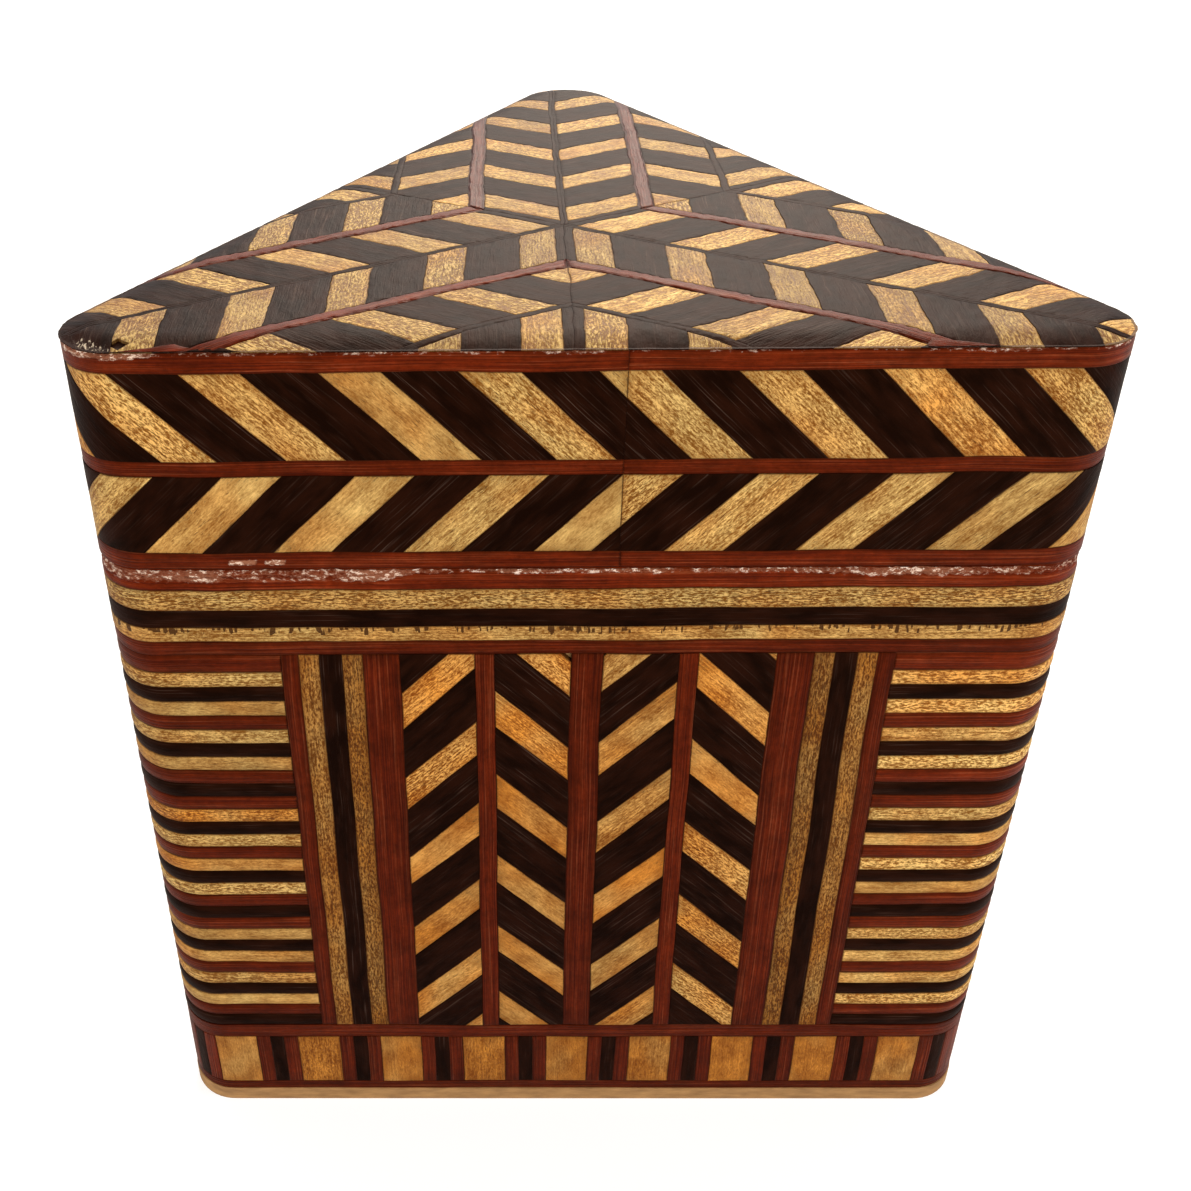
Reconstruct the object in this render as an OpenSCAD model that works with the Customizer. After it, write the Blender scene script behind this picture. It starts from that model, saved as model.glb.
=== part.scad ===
// Triangular keepsake box with a lift-off lid, covered in strips of pale, black and red wood.
// Millimetres. +Z is up, the origin is the centre of the triangle on the underside,
// and one flat side faces -Y.

/* [Box] */
// Side of the triangle, measured as if its corners were sharp
side_w = 112; // [100:1:140]
// Radius of the three upright corners
corner_r = 6; // [4.5:0.5:8]
// Height with the lid on
box_h = 110; // [100:1:140]

/* [Boards] */
// Thickness of the base board
base_t = 2.1; // [1.6:0.1:5]
// Thickness of the wall boards of the body
wall_t = 4; // [3:0.2:5]
// Thickness of the lining boards
lining_t = 1.8; // [1.2:0.1:3]
// Height that the lining stands above the rim, inside the lid
lip_h = 11; // [6:0.5:15]
// Clearance between the lid and the standing lining
lip_gap = 0.35; // [0.2:0.05:0.6]
// Thickness of the top board of the lid
lid_board_t = 4; // [3:0.2:6]

/* [Veneer] */
// Thickness of the wood strips on the sides
strip_t = 1; // [0.7:0.1:1.4]
// Thickness of the pieces on top of the lid
top_t = 0.8; // [0.5:0.1:1.4]
// Glue line between neighbouring pieces
glue_line = 0.06; // [0.04:0.01:0.12]

/* [Lid bands] */
// Height of the red band under the top
edge_h = 2.2; // [1.4:0.1:4]
// Height of the upper slanted band
upper_h = 9.4; // [6:0.2:12]
// Height of the red band between the slanted bands
mid_h = 1.7; // [1:0.1:4]
// Height of the lower slanted band
lower_h = 8.8; // [6:0.2:12]
// Height of the red band at the bottom of the lid
low_h = 1.9; // [1.2:0.1:4]
// Repeat of the slanted stripes along a flat side
stripe_pitch = 13.2; // [10:0.1:15]
// Width of a pale slanted stripe, along the band
stripe_maple = 5.9; // [4:0.1:8]
// Slant of the stripes from upright, in degrees
stripe_lean = 45; // [30:1:48]
// Place of the pale stripe right of centre, upper band
upper_start = 4.9; // [0:0.1:8]
// Place of the pale stripe near the centre, lower band
lower_start = -1.4; // [-6:0.1:6]
// Place on the front where the two ends of each band meet, right of centre
joint_x = 3; // [-20:0.5:20]

/* [Body bands] */
// Height of the red band at the rim
rim_h = 2.65; // [1.5:0.05:4]
// Radius of its worn upper edge, where the lid comes off
rim_round = 0.9; // [0.3:0.1:1.2]
// Height of the wide pale band
wide_maple_h = 2.5; // [1.5:0.1:4]
// Height of the black band
black_band_h = 2.2; // [1.2:0.1:4]
// Height of the narrow pale band
narrow_maple_h = 1.85; // [1.2:0.05:4]
// Height of the red band over the panels
header_h = 1.8; // [1.2:0.1:4]
// Height of the red line over the blocks
base_line_h = 2.3; // [1.2:0.1:4]
// Height of the blocks along the foot
block_h = 8.9; // [5:0.1:12]
// Height of the red line under the blocks
foot_line_h = 1.5; // [1:0.1:3]

/* [Blocks] */
// Repeat of the blocks along a side
block_pitch = 10.8; // [9:0.1:13]
// Width of a pale block
block_maple = 5.4; // [3:0.1:7]
// How far the row of blocks is laid from the middle of its side
block_shift = -1.1; // [-2:0.1:2]

/* [Panel] */
// Width of the red bar in the middle
centre_bar_w = 3.4; // [2:0.1:6]
// Width of each chevron column
column_w = 8.15; // [6:0.05:9.5]
// Width of the red bar between two columns
divider_w = 2.1; // [1.2:0.1:4]
// Width of the red bar beside the columns
wide_bar_w = 4; // [2:0.1:5]
// Width of each pale strip in the border
stile_maple_w = 2.2; // [1.2:0.1:3]
// Width of the black strip in the border
stile_black_w = 2.4; // [1.2:0.1:3]
// Width of the red strip at the edge of the border
stile_red_w = 1.9; // [1.2:0.1:3]
// Upright repeat of the chevron pieces
chevron_pitch = 12; // [9:0.1:14]
// Upright height of a pale chevron piece
chevron_maple = 4.9; // [3:0.1:7]

/* [Corner strips] */
// Repeat of the strips that run round the corners
corner_pitch = 1.965; // [1.5:0.005:3]
// How far the edges of each strip are eased back
corner_crown = 0.14; // [0.05:0.01:0.25]

/* [Lid top] */
// Width of the black string lines
string_w = 0.8; // [0.5:0.1:1.6]
// Width of the red lines
red_line_w = 1.8; // [1:0.1:3]
// Distance from a corner line to its red line
red_line_d = 9.85; // [7:0.05:12]
// Distance from a corner line to its outer string
outer_string_d = 19.5; // [16:0.1:23]
// Repeat of the stripes, square to their length
herring_pitch = 9.6; // [7:0.1:12]
// Width of a pale stripe
herring_maple = 4; // [2.5:0.1:5]
// Half width of the black spear on each centre line
spear_w = 1; // [0.6:0.1:2]
// How far the middle of the pattern lies right of the middle of the lid
star_x = -2.1; // [-3:0.1:3]
// How far the middle of the pattern lies behind the middle of the lid
star_y = -0.4; // [-3:0.1:3]

/* [Hidden] */
$fn = 36;
corner_angles = [90, 210, 330];
inner_r = side_w / (2 * sqrt(3));
corner_d = 2 * (inner_r - corner_r);
flat_len = side_w - 2 * sqrt(3) * corner_r;
// Each corner's arc stands this hair proud, so that it crosses its flat sides cleanly
arc_proud = 0.003;
side_run = flat_len + 2 * PI * corner_r / 3;
lid_h = top_t + edge_h + upper_h + mid_h + lower_h + low_h;
rim_z = box_h - lid_h;
lid_board_z = box_h - top_t - lid_board_t;
// Levels of the bands, each the underside of the one above
low_z = rim_z;
lower_z = low_z + low_h;
mid_z = lower_z + lower_h;
upper_z = mid_z + mid_h;
edge_z = upper_z + upper_h;
rim_band_z = rim_z - rim_h;
wide_maple_z = rim_band_z - wide_maple_h;
black_band_z = wide_maple_z - black_band_h;
narrow_maple_z = black_band_z - narrow_maple_h;
header_z = narrow_maple_z - header_h;
block_z = base_t + foot_line_h;
base_line_z = block_z + block_h;
panel_z = base_line_z + base_line_h;
panel_h = header_z - panel_z;
// Distances from the middle of a side to the parts of its panel
divider_x = centre_bar_w / 2 + column_w;
outer_column_x = divider_x + divider_w;
wide_bar_x = outer_column_x + column_w;
inner_maple_x = wide_bar_x + wide_bar_w;
stile_black_x = inner_maple_x + stile_maple_w;
outer_maple_x = stile_black_x + stile_black_w;
stile_red_x = outer_maple_x + stile_maple_w;
panel_x = stile_red_x + stile_red_w;
column_x = [-wide_bar_x, -divider_x, centre_bar_w / 2, outer_column_x];
// How far below the panel's top the first pale piece starts, at each column's left
column_drop = [5.3, 4.9, 0, -0.2];
// Whether a column's pieces rise or fall to the right
column_rise = [1, -1, 1, -1];
// Woods of the corner strips from the top down
corner_order = ["maple", "black", "maple", "red", "maple", "black", "maple", "red", "black", "red"];
corner_count = floor(panel_h / corner_pitch - 1);
// Blocks along one side, and the woods in the space between two of them
block_count = floor(side_run / block_pitch);
block_gap = (block_pitch - block_maple) / 3;
corner_gap = side_run - (block_count - 1) * block_pitch - block_maple;
// Slanted stripes on one side: the flat ones, and two that share what is left at the corner
flat_stripes = floor(flat_len / stripe_pitch);
corner_stripes = 2;
corner_stripe_pitch = (side_run - flat_stripes * stripe_pitch) / corner_stripes;
stripe_share = stripe_maple / stripe_pitch;
herring_count = ceil(side_w / herring_pitch);
// A cut along a side goes in past the middle of the corner's arc, and stops short of the next side
reach = side_w / 4;
cut_depth = 11 / 5 * corner_r;
// A profile carried round the box is this deep, before its inside is taken out
profile_t = 3 * strip_t;
maple_colour = "#c9973f";
black_colour = "#2a1e1b";
red_colour = "#702a1c";
core_colour = "#b98a55";
pale_colour = "#d8b77c";

function dir(angle) = [cos(angle), sin(angle)];
function corner_wood(i) = corner_order[i % len(corner_order)];

// Rounded triangle, set in from the outer surface of the box
module outline(inset) {
    r = corner_r - inset;
    for (a = corner_angles)
        translate(corner_d * dir(a)) circle(r = r + arc_proud);
    polygon([for (a = corner_angles, turn = [-60, 60]) corner_d * dir(a) + r * dir(a + turn)]);
}

// Triangle with sharp corners, set in from the outer surface of the box
module sharp_outline(inset) {
    polygon([for (a = corner_angles) 2 * (inner_r - inset) * dir(a)]);
}

// The front third of the plan, between two corner lines
module front_third() {
    polygon([[0, 0], side_w * dir(corner_angles[1]), side_w * dir(corner_angles[2])]);
}

// Repeats a side's pieces on the three sides
module each_side() {
    for (side = [0 : 2])
        rotate([0, 0, 120 * side]) children();
}

// A closed band of strip round the box
module band(z, h) {
    translate([0, 0, z + glue_line / 2])
        linear_extrude(h - glue_line)
            band_plan();
}

module band_plan() {
    difference() {
        outline(0);
        outline(strip_t);
    }
}

// A profile carried round one corner, drawn with X out from the surface and Y up
module swept_corner(angle) {
    translate(corner_d * dir(angle))
        rotate_extrude() translate([corner_r + arc_proud, 0]) children();
}

// The same profile along the front side
module swept_flat(from, to) {
    translate([from, -inner_r, 0])
        rotate([90, 0, 90])
            linear_extrude(to - from) mirror([1, 0]) children();
}

// Leaves a strip's thickness of what is carried round the box
module skin(z, h) {
    translate([0, 0, z + glue_line / 2])
        difference() {
            union() children();
            translate([0, 0, -h]) linear_extrude(3 * h) outline(strip_t);
        }
}

// Flat face with its upper edge rounded
module rim_profile(h) {
    translate([-profile_t, 0]) square([profile_t, h - rim_round]);
    translate([-profile_t, 0]) square([profile_t - rim_round, h]);
    translate([-rim_round, h - rim_round]) circle(r = rim_round);
}

// Face with both of its edges eased
module crowned_profile(h) {
    polygon([[-profile_t, 0], [-corner_crown, 0], [0, h / 4], [0, 3 * h / 4], [-corner_crown, h],
        [-profile_t, h]]);
}

// The bands of the lid are wrapped round it, and their ends meet on the front
module jointed() {
    difference() {
        children();
        translate([joint_x - glue_line / 2, -inner_r - strip_t, rim_z])
            cube([glue_line, 3 * strip_t, lid_h]);
    }
}

// Puts a piece at a distance from the middle of the front side, measured round the corners
module along(s) {
    side = floor(s / side_run + 1 / 2);
    x = s - side * side_run;
    over = max(abs(x) - flat_len / 2, 0);
    rotate([0, 0, 120 * side])
        translate([x - sign(x) * over, corner_r - inner_r, 0])
            rotate([0, 0, sign(x) * over / corner_r * 180 / PI])
                translate([0, -corner_r, 0])
                    children();
}

// A piece of a band from one distance to another, with ends that lean the same way
module band_piece(from, to, lean, z, h) {
    intersection() {
        band(z, h);
        along(from + glue_line / 2)
            translate([0, 0, z + h / 2])
                rotate([0, lean, 0])
                    translate([0, -corner_r, -reach]) cube([reach, cut_depth, 2 * reach]);
        along(to - glue_line / 2)
            translate([0, 0, z + h / 2])
                rotate([0, lean, 0])
                    translate([-reach, -corner_r, -reach]) cube([reach, cut_depth, 2 * reach]);
    }
}

// A board on one side of the box, mitred at the corners: 0 is the front, then counterclockwise
module board(side, z, h) {
    rotate([0, 0, 120 * side])
        translate([0, 0, z])
            linear_extrude(h)
                intersection() {
                    difference() {
                        children(0);
                        children(1);
                    }
                    front_third();
                }
}

module body_wall(side) {
    color(core_colour)
        board(side, base_t, rim_z - base_t) {
            outline(strip_t);
            sharp_outline(strip_t + wall_t);
        }
}

module lining(side) {
    color(pale_colour)
        board(side, base_t, rim_z + lip_h - base_t) {
            sharp_outline(strip_t + wall_t);
            sharp_outline(strip_t + wall_t + lining_t);
        }
}

module lid_wall(side) {
    color(core_colour)
        board(side, rim_z, lid_board_z - rim_z) {
            outline(strip_t);
            sharp_outline(strip_t + wall_t - lip_gap);
        }
}

module base_board() {
    color(pale_colour)
        linear_extrude(base_t) outline(0);
}

module lid_board() {
    color(core_colour)
        translate([0, 0, lid_board_z])
            linear_extrude(lid_board_t) outline(strip_t);
}

module red_band(z, h) {
    color(red_colour) band(z, h);
}

// Blocks along the foot
module block_maple_pieces() {
    color(maple_colour)
        each_side()
            for (i = [0 : block_count - 1]) {
                x = block_shift + (i - (block_count - 1) / 2) * block_pitch;
                band_piece(x - block_maple / 2, x + block_maple / 2, 0, block_z, block_h);
            }
}

// The thin pieces between the blocks: red, black, red, and one red more at each corner
module block_black_pieces() {
    color(black_colour)
        each_side() {
            for (i = [1 : block_count - 1]) {
                x = block_shift + (i - block_count / 2) * block_pitch;
                band_piece(x - block_gap / 2, x + block_gap / 2, 0, block_z, block_h);
            }
            for (end = [-1, 1]) {
                x = block_shift + end * ((block_count - 1) * block_pitch + block_maple
                    + 3 * block_gap) / 2;
                band_piece(x - block_gap / 2, x + block_gap / 2, 0, block_z, block_h);
            }
        }
}

module block_red_pieces() {
    last = ((block_count - 1) * block_pitch + block_maple) / 2;
    color(red_colour)
        each_side() {
            for (i = [1 : block_count - 1], part = [-1, 1]) {
                x = block_shift + (i - block_count / 2) * block_pitch + part * block_gap;
                band_piece(x - block_gap / 2, x + block_gap / 2, 0, block_z, block_h);
            }
            for (end = [-1, 1]) {
                x = block_shift + end * (last + block_gap / 2);
                band_piece(x - block_gap / 2, x + block_gap / 2, 0, block_z, block_h);
            }
            band_piece(block_shift + last + 2 * block_gap, block_shift + last + corner_gap - 2 * block_gap,
                0, block_z, block_h);
        }
}

// Strips that run from one panel round the corner to the next
module corner_strip(z, h) {
    each_side()
        skin(z, h) {
            swept_corner(corner_angles[2]) crowned_profile(h - glue_line);
            swept_flat(panel_x, flat_len / 2) crowned_profile(h - glue_line);
            rotate([0, 0, 120])
                swept_flat(-flat_len / 2, -panel_x) crowned_profile(h - glue_line);
        }
}

module corner_strips(wood) {
    for (i = [0 : corner_count - 1])
        if (corner_wood(i) == wood)
            corner_strip(panel_z + (corner_count - 1 - i) * corner_pitch, corner_pitch);
}

module corner_red_strips() {
    color(red_colour) {
        corner_strips("red");
        corner_strip(panel_z + corner_count * corner_pitch, panel_h - corner_count * corner_pitch);
    }
}

// An upright strip of a panel on the front side
module upright(x, w) {
    translate([x + glue_line / 2, -inner_r, panel_z + glue_line / 2])
        cube([w - glue_line, strip_t, panel_h - glue_line]);
}

// The same strip on both halves of each panel
module mirrored_upright(x, w) {
    each_side() {
        upright(x, w);
        upright(-x - w, w);
    }
}

module chevron_pieces(offset_z, h) {
    each_side()
        translate([0, strip_t - inner_r, 0])
            rotate([90, 0, 0])
                linear_extrude(strip_t)
                    for (c = [0 : 3])
                        intersection() {
                            translate([column_x[c] + glue_line / 2, panel_z + glue_line / 2])
                                square([column_w - glue_line, panel_h - glue_line]);
                            for (i = [-1 : ceil(panel_h / chevron_pitch)])
                                chevron_piece(c, header_z - column_drop[c] - offset_z
                                    - i * chevron_pitch, h);
                        }
}

// One slanted piece of a column, from the height of its top at the left edge
module chevron_piece(c, top, h) {
    left = column_x[c];
    right = left + column_w;
    rise = column_rise[c] * column_w;
    low = top - h + glue_line;
    polygon([[left, top], [left, low], [right, low + rise], [right, top + rise]]);
}

// The half of a third of the lid's top that lies beside one corner line, along +X
module half_third() {
    slope = glue_line / (2 * sin(60));
    polygon([[slope, 0], [side_w, 0], [side_w, side_w * sqrt(3)]]);
}

// Repeats a piece on both sides of the three corner lines
module each_half() {
    for (a = corner_angles, flip = [0, 1])
        rotate(a) mirror([0, flip]) children();
}

// A line parallel to the corner line, mitred at the centre line of the side
module top_line(d, w) {
    intersection() {
        half_third();
        translate([0, d - w / 2]) square([side_w, w]);
    }
}

// A stripe that leaves the corner line at 60 degrees, between two distances from it
module outward_stripe(near, far, v, w) {
    polygon([for (end = [[near, v], [far, v], [far, v + w], [near, v + w]])
        [(end[1] + end[0] / 2) / sin(60), end[0]]]);
}

// The stripe that folds back on the other side of the red line
module inward_stripe(near, far, v, w) {
    polygon([for (end = [[near, v], [far, v], [far, v + w], [near, v + w]])
        [(end[1] + red_line_d - end[0] / 2) / sin(60), end[0]]]);
}

module herring_stripes(v, w) {
    gap = glue_line / 2;
    outward_stripe(string_w / 2 + gap, red_line_d - red_line_w / 2 - gap, v, w);
    outward_stripe(outer_string_d + string_w / 2 + gap, side_w, v, w);
    inward_stripe(red_line_d + red_line_w / 2 + gap, outer_string_d - string_w / 2 - gap, v, w);
}

// The lid's top is laid on the lid board and trimmed to the outline
module on_top() {
    translate([0, 0, box_h - top_t])
        linear_extrude(top_t)
            intersection() {
                outline(0);
                translate([star_x, star_y])
                    each_half()
                        intersection() {
                            half_third();
                            union() children();
                        }
            }
}

module top_maple_pieces() {
    color(maple_colour)
        on_top()
            for (i = [0 : herring_count])
                herring_stripes(spear_w + i * herring_pitch, herring_maple - glue_line);
}

module top_black_pieces() {
    color(black_colour)
        on_top() {
            herring_stripes(0, spear_w - glue_line);
            for (i = [0 : herring_count])
                herring_stripes(spear_w + herring_maple + i * herring_pitch,
                    herring_pitch - herring_maple - glue_line);
        }
}

module top_red_lines() {
    color(red_colour)
        on_top() top_line(red_line_d, red_line_w);
}

module top_black_strings() {
    color(black_colour)
        on_top() {
            translate([0, glue_line / 2]) square([side_w, string_w / 2]);
            top_line(outer_string_d, string_w);
        }
}

// Stripes of a slanted band on one side: the share of the pitch they start at and fill
module stripes(z, h, lean, start, share_from, share_to) {
    first = start - floor((start + flat_len / 2) / stripe_pitch) * stripe_pitch;
    each_side() {
        for (i = [0 : flat_stripes - 1]) {
            x = first + i * stripe_pitch;
            band_piece(x + share_from * stripe_pitch, x + share_to * stripe_pitch, lean, z, h);
        }
        for (i = [0 : corner_stripes - 1]) {
            x = first + flat_stripes * stripe_pitch + i * corner_stripe_pitch;
            band_piece(x + share_from * corner_stripe_pitch, x + share_to * corner_stripe_pitch,
                lean, z, h);
        }
    }
}

base_board();
body_wall(0);  // wall_front
body_wall(1);  // wall_right
body_wall(2);  // wall_left
lining(0);  // lining_front
lining(1);  // lining_right
lining(2);  // lining_left
red_band(base_t, foot_line_h);  // foot_line
block_maple_pieces();
block_black_pieces();
block_red_pieces();
red_band(base_line_z, base_line_h);  // base_line
color(maple_colour) corner_strips("maple");  // corner_maple_strips
color(black_colour) corner_strips("black");  // corner_black_strips
corner_red_strips();
color(red_colour) mirrored_upright(stile_red_x, stile_red_w);  // border_red_strips
color(maple_colour) {  // border_maple_strips
        mirrored_upright(inner_maple_x, stile_maple_w);
        mirrored_upright(outer_maple_x, stile_maple_w);
    }
color(black_colour) mirrored_upright(stile_black_x, stile_black_w);  // border_black_strips
color(red_colour) mirrored_upright(wide_bar_x, wide_bar_w);  // wide_bars
color(red_colour) each_side() upright(-centre_bar_w / 2, centre_bar_w);  // centre_bars
color(red_colour) mirrored_upright(divider_x, divider_w);  // divider_bars
color(maple_colour) chevron_pieces(0, chevron_maple);  // chevron_maple_pieces
color(black_colour) chevron_pieces(chevron_maple, chevron_pitch - chevron_maple);  // chevron_black_pieces
red_band(header_z, header_h);  // header_band
color(maple_colour) band(narrow_maple_z, narrow_maple_h);  // narrow_maple_band
color(black_colour) band(black_band_z, black_band_h);  // black_band
color(maple_colour) band(wide_maple_z, wide_maple_h);  // wide_maple_band
color(red_colour)  // rim_band
        skin(rim_band_z, rim_h) {
            for (a = corner_angles)
                swept_corner(a) rim_profile(rim_h - glue_line);
            each_side() swept_flat(-flat_len / 2, flat_len / 2) rim_profile(rim_h - glue_line);
        }
lid_board();
lid_wall(0);  // lid_wall_front
lid_wall(1);  // lid_wall_right
lid_wall(2);  // lid_wall_left
jointed() red_band(low_z, low_h);  // lid_low_band
color(maple_colour) jointed() stripes(lower_z, lower_h, stripe_lean, lower_start, 0, stripe_share);  // lower_maple_stripes
color(black_colour) jointed() stripes(lower_z, lower_h, stripe_lean, lower_start, stripe_share, 1);  // lower_black_stripes
jointed() red_band(mid_z, mid_h);  // lid_mid_band
color(maple_colour) jointed() stripes(upper_z, upper_h, -stripe_lean, upper_start, 0, stripe_share);  // upper_maple_stripes
color(black_colour) jointed() stripes(upper_z, upper_h, -stripe_lean, upper_start, stripe_share, 1);  // upper_black_stripes
jointed() red_band(edge_z, edge_h);  // lid_edge_band
top_maple_pieces();
top_black_pieces();
top_red_lines();
top_black_strings();
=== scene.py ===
import math
import random

import bmesh
import bpy
from mathutils import Matrix, Vector, noise


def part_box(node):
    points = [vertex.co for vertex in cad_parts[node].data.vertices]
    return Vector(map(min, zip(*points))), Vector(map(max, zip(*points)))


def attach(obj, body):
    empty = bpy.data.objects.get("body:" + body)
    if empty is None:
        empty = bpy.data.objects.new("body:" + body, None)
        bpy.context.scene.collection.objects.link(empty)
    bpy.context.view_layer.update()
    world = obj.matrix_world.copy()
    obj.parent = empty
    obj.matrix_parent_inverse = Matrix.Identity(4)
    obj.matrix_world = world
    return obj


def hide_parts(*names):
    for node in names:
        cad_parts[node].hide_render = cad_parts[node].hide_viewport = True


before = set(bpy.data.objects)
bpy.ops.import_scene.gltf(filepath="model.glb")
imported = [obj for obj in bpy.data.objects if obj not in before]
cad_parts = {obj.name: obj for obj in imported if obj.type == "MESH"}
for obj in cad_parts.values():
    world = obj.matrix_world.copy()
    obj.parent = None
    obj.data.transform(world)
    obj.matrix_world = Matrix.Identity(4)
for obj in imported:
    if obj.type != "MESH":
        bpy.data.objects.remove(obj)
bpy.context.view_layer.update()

mm = 0.001
print("frame loaded,", len(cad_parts), "nodes")

# The box: an upright prism on a triangle with rounded corners. Sizes in millimetres.
box = {
    "side": 112.0,  # of the triangle, as if its corners were sharp
    "cornerRadius": 6.0,
    "height": 110.0,
    "stripThickness": 0.9,
    "topThickness": 0.8,
    "wornDrop": 0.76,  # how far the worn edge round the lid's top falls
    "wornWidth": 3.6,
    "glueLine": 0.06,  # between the solids
    "seenLine": 0.016,  # what the lacquer leaves of it
    "easedEdge": 0.16,  # how wide the soft edge of each piece is
    "wander": 0.17,  # how far the hand-laid lines stray
    "unevenness": 0.035,  # how far the sanded faces stand above or below each other
    "handScraped": 0.07,  # the top is rougher
    "sideInset": 0.05,  # how far the visible faces lie inside the solids
    "topInset": 0.12,
}
# each stray: how far, over what length, and the seed that tells it from the others
wallStray = {
    "along": ((box["wander"], 13, 3), (box["wander"] / 3, 3.5, 5)),
    "up": ((box["wander"], 11, 7), (box["wander"] / 3, 3.1, 9)),
    "out": ((box["unevenness"], 6, 11),),
}
topStray = {
    "x": ((box["wander"] * 1.6, 12, 13), (box["wander"] * 0.8, 3.1, 15), (0.13, 0.9, 31)),
    "y": ((box["wander"] * 1.6, 10, 17), (box["wander"] * 0.8, 2.8, 19), (0.13, 0.9, 33)),
    "up": ((box["unevenness"], 7, 21), (box["handScraped"], 1.7, 23), (box["handScraped"] * 0.5, 0.7, 25)),
}
innerRadius = box["side"] / (2 * math.sqrt(3))
flatLength = box["side"] - 2 * math.sqrt(3) * box["cornerRadius"]
arcLength = 2 * math.pi * box["cornerRadius"] / 3
sideRun = flatLength + arcLength
cornerAt = 2 * (innerRadius - box["cornerRadius"])  # from the middle to the centre of each corner's arc
cornerAngles = (90, 210, 330)
halfGlue = box["glueLine"] / 2
halfLine = box["seenLine"] / 2


def levelsOf(node):  # to the middle of the glue lines above and below
    low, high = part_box(node)
    return low.z / mm - halfGlue, high.z / mm + halfGlue


rimLevel = levelsOf("lid_low_band")[0]


def alongSide(s):  # from the middle of the side that s is on
    return s - math.floor(s / sideRun + 0.5) * sideRun


def wallPoint(s, z, out):  # s runs round the box from the middle of the front
    side = math.floor(s / sideRun + 0.5)
    x = alongSide(s)
    over = max(abs(x) - flatLength / 2, 0)
    sign = 1 if x > 0 else -1
    angle = over / box["cornerRadius"]
    radius = box["cornerRadius"] + out
    px = x - sign * over + sign * radius * math.sin(angle)
    py = -innerRadius + box["cornerRadius"] - radius * math.cos(angle)
    turn = math.radians(120 * side)
    return Vector((px * math.cos(turn) - py * math.sin(turn), px * math.sin(turn) + py * math.cos(turn), z))


def outlineDepth(x, y):  # how far inside the outline a point of the lid's top is
    depth = innerRadius
    for angle in (270, 30, 150):
        a = math.radians(angle)
        depth = min(depth, innerRadius - x * math.cos(a) - y * math.sin(a))
    for angle in cornerAngles:
        a = math.radians(angle)
        dx, dy = x - cornerAt * math.cos(a), y - cornerAt * math.sin(a)
        out = dx * math.cos(a) + dy * math.sin(a)
        if out > 0 and abs(dy * math.cos(a) - dx * math.sin(a)) < out * math.tan(math.radians(60)):
            depth = min(depth, box["cornerRadius"] - math.hypot(dx, dy))
    return depth


def stray(point, *parts):  # smooth pseudo-random shift, the same at each run
    return sum(size * noise.noise(point / length + Vector((seed, seed * 0.7, -seed * 0.4)))
               for size, length, seed in parts)


def smooth(x):
    x = min(max(x, 0), 1)
    return x * x * (3 - 2 * x)


def placeOnWall(x, y, out, under=False):
    here = wallPoint(x, y, 0)
    # the lines don't stray at the foot, at the top and at the seam
    free = smooth((y - 0.5) / 2) * smooth((box["height"] - y - 0.3) / 2) * smooth((abs(y - rimLevel) - 0.4) / 2)
    x += free * stray(here, *wallStray["along"])
    y += free * stray(here, *wallStray["up"])
    if under:
        return wallPoint(x, y, -box["stripThickness"])
    return wallPoint(x, y, out - box["sideInset"] + stray(here, *wallStray["out"]))


def placeOnTop(x, y, out, under=False):
    here = Vector((x, y, 0))
    depth = outlineDepth(x, y)
    free = smooth(depth / 3)
    x += free * stray(here, *topStray["x"])
    y += free * stray(here, *topStray["y"])
    chipped = 1 - 0.2 * (1 - free) * abs(noise.noise(here / 1.3)) / math.hypot(x, y)  # the outline crumbles a little
    x, y = x * chipped, y * chipped
    if under:
        return Vector((x, y, box["height"] - box["topThickness"] + 0.02))
    drop = box["wornDrop"] * max(1 - depth / box["wornWidth"], 0) ** 1.8
    rough = stray(here, *topStray["up"])
    return Vector((x, y, box["height"] - box["topInset"] - drop + (out + rough) * smooth(depth)))


def clip(polygon, nx, ny, limit):  # keeps the part where x*nx + y*ny is below the limit
    kept = []
    for i, (x1, y1) in enumerate(polygon):
        x0, y0 = polygon[i - 1]
        d0, d1 = x0 * nx + y0 * ny - limit, x1 * nx + y1 * ny - limit
        if d0 * d1 < 0:
            t = d0 / (d0 - d1)
            kept.append((x0 + t * (x1 - x0), y0 + t * (y1 - y0)))
        if d1 <= 0:
            kept.append((x1, y1))
    return kept


def areaOf(polygon):
    return sum(polygon[i - 1][0] * p[1] - p[0] * polygon[i - 1][1] for i, p in enumerate(polygon)) / 2


# how finely the meshes are cut, in millimetres, and how their edges are softened
grid = {
    "wall": (2.0, 1.8),  # along and up
    "arc": 16,  # lines round each corner
    "top": 0.6,
    "rounded": 1.4,  # from the top's outline inwards there are more lines, at these insets
    "insets": (0.1, 0.4, 0.8),
    "leastArea": 0.05,
    "mergeWithin": 0.002,
    "easedSteps": (0.35, 0.65),  # shares of the soft edge's width
    "easedDrops": (0.4, 0.1),  # how far its outer and inner line lie down, as shares of the width
    "sharpFrom": 50,  # degrees
}


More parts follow.
